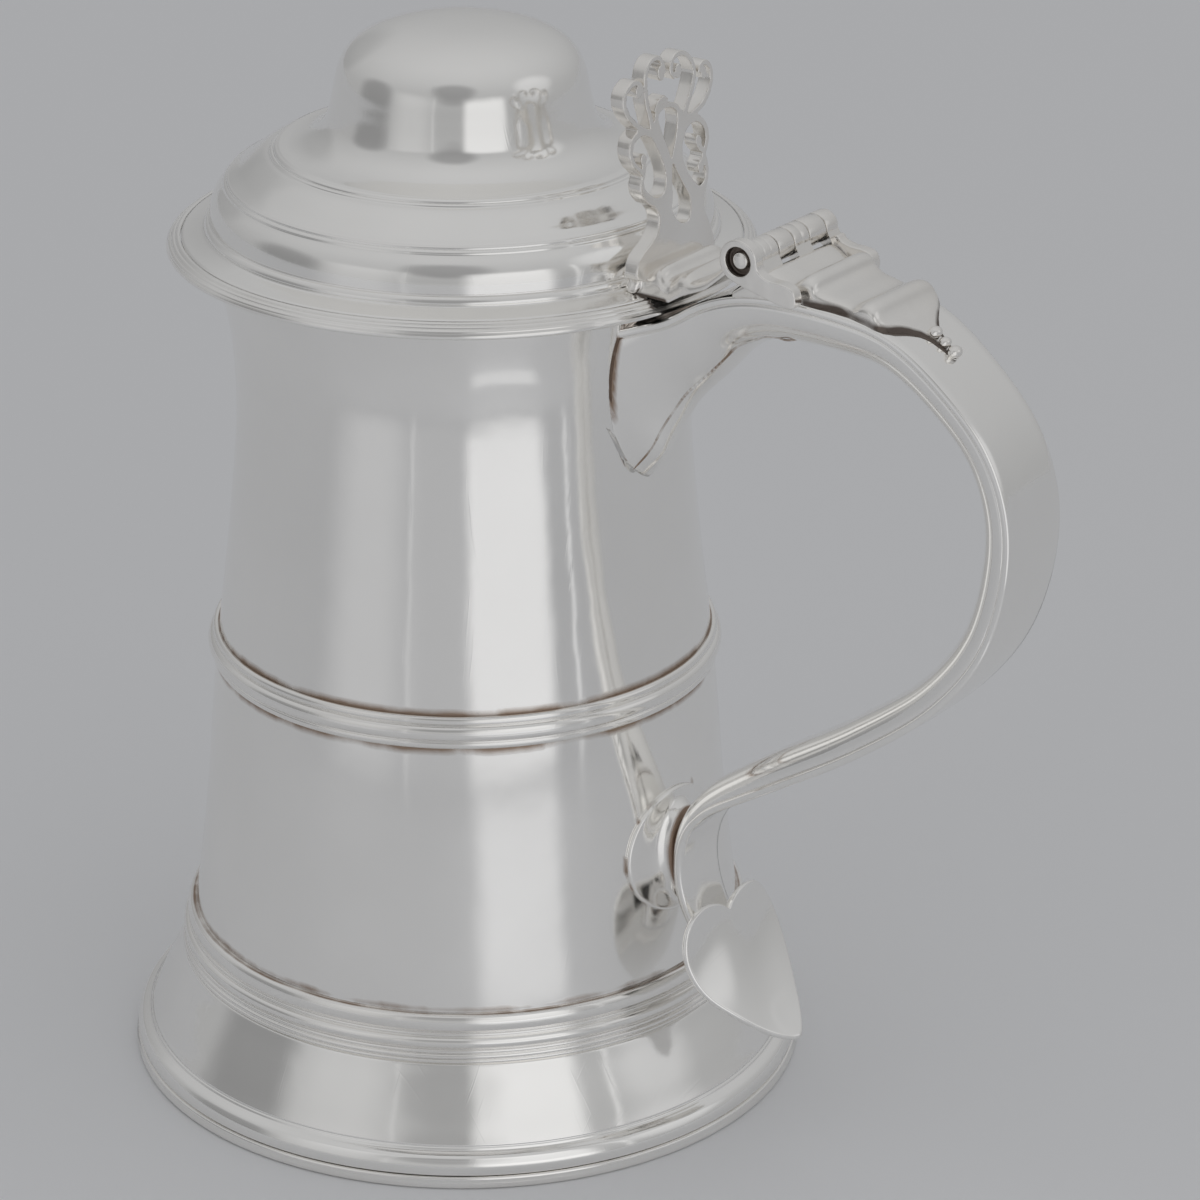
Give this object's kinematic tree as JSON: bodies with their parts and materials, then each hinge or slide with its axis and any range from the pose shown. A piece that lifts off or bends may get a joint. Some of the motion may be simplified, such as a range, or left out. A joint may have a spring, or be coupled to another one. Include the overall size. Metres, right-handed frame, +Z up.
{
  "type": "lidded tankard",
  "caption": "Lidded silver tankard with a tapered drum, spreading moulded foot, hollow scroll handle with a heart terminal, and a hinged stepped lid with a pierced scroll thumbpiece.",
  "frame": {"origin": "bottom centre of the bounding box, on the plane the foot stands on", "axes": "+Z up along the drum's axis, +X towards the handle, Y along the lid's hinge pin"},
  "size_m": [0.1862, 0.128, 0.2025],
  "materials": {
    "polished": "polished silver with fine wear",
    "turned": "polished reeded silver with tarnish in the grooves",
    "cast": "cast and chased silver, bright on the high parts and dark in the recesses",
    "inside": "duller silver inside",
    "soldered": "tarnished silver and solder"
  },
  "bodies": {
    "tankard": {"drum": "polished", "drum_bottom": "inside", "mid_band": "turned", "lip_wire": "turned", "foot_collar": "turned", "foot_skirt": "polished", "foot_rim_wire": "turned", "handle_strap": "polished", "handle_shell": "polished", "handle_end_cap": "soldered", "handle_pad": "soldered", "heart_terminal": "polished", "hinge_plate": "cast", "hinge_drop": "cast", "drop_bead_1": "cast", "drop_bead_2": "cast", "drop_bead_3": "cast", "knuckle_1": "cast", "knuckle_3": "cast", "knuckle_5": "cast", "hinge_pin": "soldered"},
    "lid": {"lid_cover": "polished", "lid_edge_wire": "turned", "lid_bezel": "inside", "lid_saddle": "cast", "knuckle_2": "cast", "knuckle_4": "cast", "thumbpiece": "cast"}
  },
  "joints": [
    {"name": "lid_hinge", "type": "hinge", "parent": "tankard", "child": "lid", "pos_m": [0.0405, 0, 0.1733], "axis": [0, 1, 0], "range_deg": [0, 140]}
  ]
}
